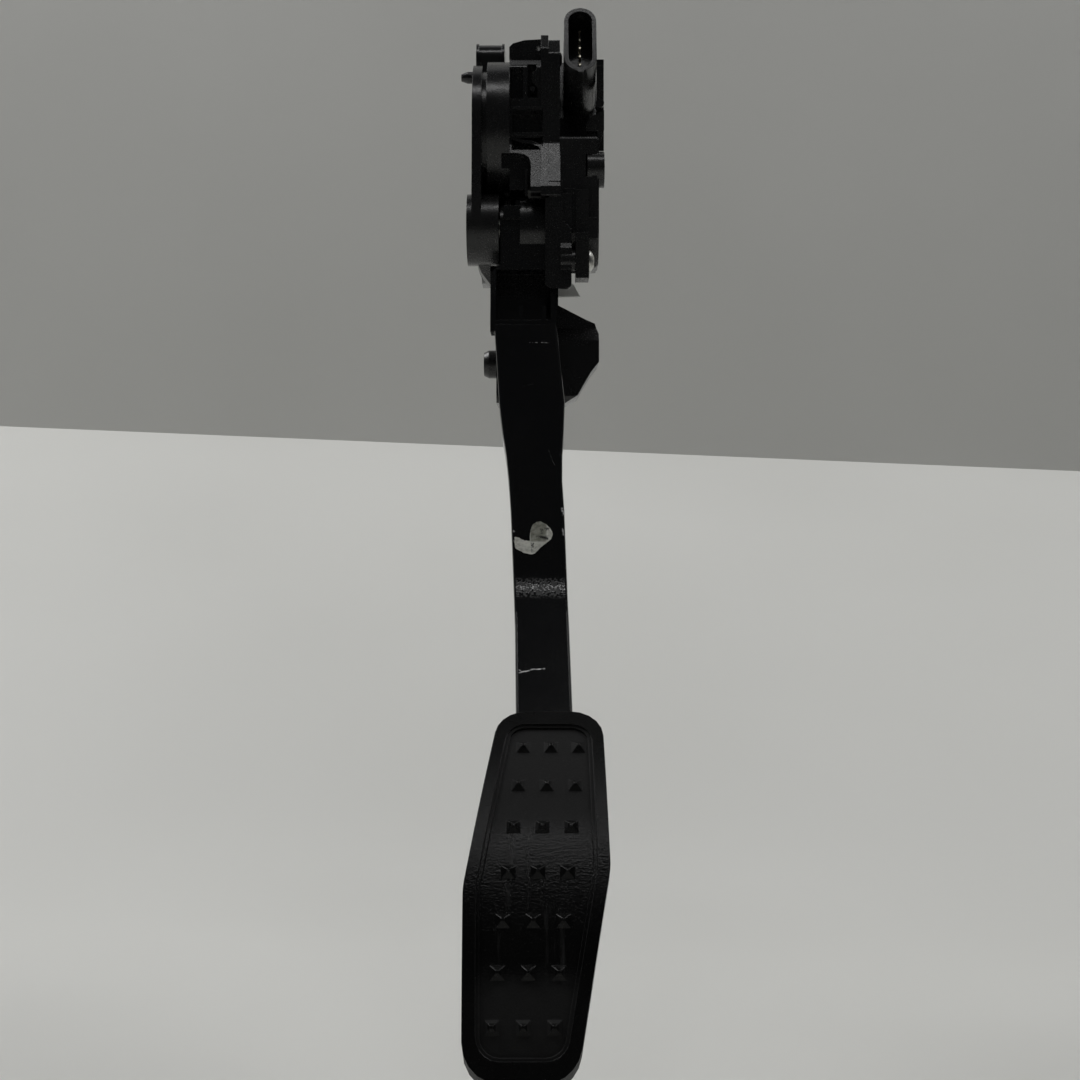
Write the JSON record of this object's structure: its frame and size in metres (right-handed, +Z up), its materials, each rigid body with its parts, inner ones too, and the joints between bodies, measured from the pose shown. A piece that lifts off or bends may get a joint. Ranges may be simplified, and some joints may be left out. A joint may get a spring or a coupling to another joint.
{
  "type": "accelerator pedal",
  "caption": "Hanging drive-by-wire accelerator pedal: ribbed arm with a studded pad, hinged in a housing with return springs, an angle sensor and a connector socket.",
  "frame": {"origin": "on the pivot axis, at the left end face of the pivot boss", "axes": "+X along the pivot axis towards the connector side, +Y away from the driver, +Z up"},
  "size_m": [0.0636, 0.2334, 0.4065],
  "materials": {
    "black_plastic": "satin moulded",
    "grey_plastic": "satin",
    "bush_plastic": "smooth",
    "board": "satin",
    "chip": "matte",
    "zinc_steel": "zinc plated",
    "spring_steel": "bright",
    "contact_brass": "tinned",
    "stop_rubber": "matte",
    "tread_rubber": "worn matte"
  },
  "bodies": {
    "housing": {"main_bracket": "black_plastic", "sensor_housing": "black_plastic", "sensor_cover": "black_plastic", "harness_clip": "black_plastic", "cover_screw": "zinc_steel", "housing_screws": "zinc_steel", "axle_cap": "black_plastic", "pivot_pin": "zinc_steel", "right_bush": "bush_plastic", "circuit_board": "board", "hall_sensors": "chip", "connector_pins": "contact_brass", "outer_return_spring": "spring_steel", "inner_return_spring": "spring_steel", "spring_seat": "bush_plastic", "idle_stop_pad": "stop_rubber", "full_travel_stop": "stop_rubber", "top_mount_sleeve": "zinc_steel", "drum_insert": "zinc_steel", "lower_mount_sleeve": "zinc_steel", "retainer_clip": "grey_plastic"},
    "pedal": {"pedal_arm": "black_plastic", "pad_cover": "tread_rubber", "left_bush": "bush_plastic", "magnet_carrier": "bush_plastic", "sensor_magnet": "zinc_steel", "spring_cup": "bush_plastic", "friction_shoe": "bush_plastic"}
  },
  "joints": [
    {"name": "pedal_pivot", "type": "hinge", "parent": "housing", "child": "pedal", "pos_m": [0, 0, 0], "axis": [1, 0, 0], "range_deg": [0, 14], "stiffness_Nm_per_rad": 12, "springref_deg": -17.19, "deforming": ["outer_return_spring", "inner_return_spring"]}
  ]
}
